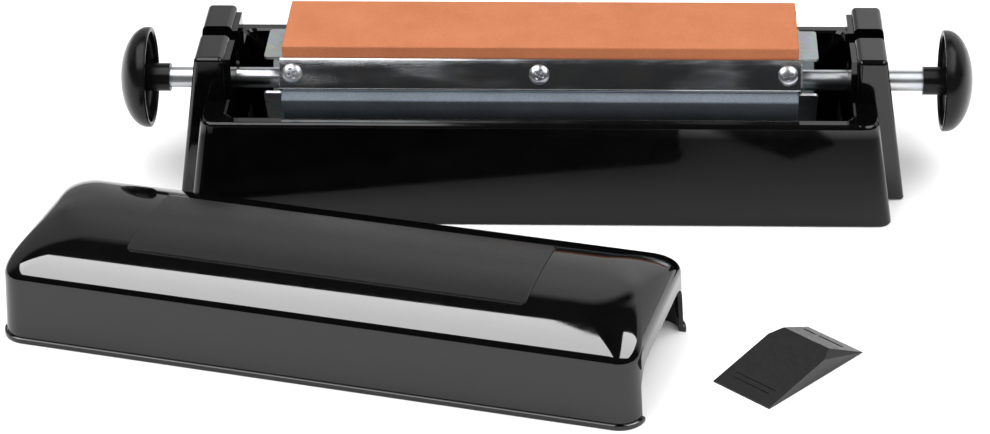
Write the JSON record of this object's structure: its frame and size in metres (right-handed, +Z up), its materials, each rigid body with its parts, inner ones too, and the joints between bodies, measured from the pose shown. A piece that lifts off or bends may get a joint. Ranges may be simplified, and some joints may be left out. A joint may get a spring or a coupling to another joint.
{
  "type": "three-stone rotary sharpening station",
  "caption": "Bench sharpening station: a turning three-sided stone holder clamped by end knobs over an oil reservoir, with a loose cover and a wedge that sets the honing angle.",
  "frame": {"origin": "on the bench, under the middle of the base and under the shafts' axis", "axes": "+X along the stones, from the left knob to the right one; +Z up; the cover and the wedge lie in front, towards -Y"},
  "size_m": [0.5315, 0.3481, 0.0935],
  "materials": {
    "gloss_black": "moulded black plastic, glossy",
    "satin_black": "moulded black plastic, satin",
    "guide_black": "moulded black plastic, fine matt texture",
    "foot_rubber": "matt",
    "galvanised_steel": "zinc-plated sheet, dull",
    "bright_zinc": "zinc-plated steel, bright",
    "fine_abrasive": "fine bonded abrasive, dry and matt, terracotta",
    "medium_abrasive": "medium bonded abrasive, matt, dark grey",
    "coarse_abrasive": "coarse bonded abrasive, matt, dark grey"
  },
  "bodies": {
    "base": {"reservoir_base": "gloss_black", "foot_front_left": "foot_rubber", "foot_front_right": "foot_rubber", "foot_rear_left": "foot_rubber", "foot_rear_right": "foot_rubber"},
    "stone_holder": {"tray_top": "galvanised_steel", "tray_front": "galvanised_steel", "tray_rear": "galvanised_steel", "end_plate_left": "galvanised_steel", "end_plate_right": "galvanised_steel", "clamp_strip_front": "bright_zinc", "clamp_strip_bottom": "bright_zinc", "clamp_strip_rear": "bright_zinc", "screws_front": "bright_zinc", "screws_bottom": "bright_zinc", "screws_rear": "bright_zinc", "nuts_front": "bright_zinc", "nuts_bottom": "bright_zinc", "nuts_rear": "bright_zinc", "fine_stone": "fine_abrasive", "medium_stone": "medium_abrasive", "coarse_stone": "coarse_abrasive", "shaft_sleeve_left": "bright_zinc", "shaft_sleeve_right": "bright_zinc"},
    "left_shaft": {"shaft_left": "bright_zinc"},
    "left_knob": {"knob_left": "satin_black"},
    "right_shaft": {"shaft_right": "bright_zinc"},
    "right_knob": {"knob_right": "satin_black"},
    "cover": {"cover": "gloss_black"},
    "angle_guide": {"angle_guide": "guide_black"}
  },
  "joints": [
    {"name": "holder_turn", "type": "hinge", "parent": "base", "child": "stone_holder", "pos_m": [0, 0, 0.0585], "axis": [1, 0, 0], "continuous": true},
    {"name": "left_shaft_travel", "type": "slide", "parent": "stone_holder", "child": "left_shaft", "axis": [1, 0, 0], "range_m": [0, 0.0161]},
    {"name": "left_knob_turn", "type": "hinge", "parent": "left_shaft", "child": "left_knob", "pos_m": [-0.23, 0, 0.0585], "axis": [1, 0, 0], "range_deg": [0, 3864.2]},
    {"name": "right_shaft_travel", "type": "slide", "parent": "stone_holder", "child": "right_shaft", "axis": [-1, 0, 0], "range_m": [0, 0.0197]},
    {"name": "right_knob_turn", "type": "hinge", "parent": "right_shaft", "child": "right_knob", "pos_m": [0.235, 0, 0.0585], "axis": [-1, 0, 0], "range_deg": [0, 4728.2]},
    {"name": "cover_lift", "type": "slide", "parent": "base", "child": "cover", "axis": [0, 0, 1], "range_m": [0, 0.15]},
    {"name": "angle_guide_lift", "type": "slide", "parent": "base", "child": "angle_guide", "axis": [0, 0, 1], "range_m": [0, 0.05]}
  ],
  "couplings": [
    {"joint": "left_knob_turn", "follows": "left_shaft_travel", "rad_per_m": 4188.8},
    {"joint": "right_knob_turn", "follows": "right_shaft_travel", "rad_per_m": 4188.8}
  ]
}
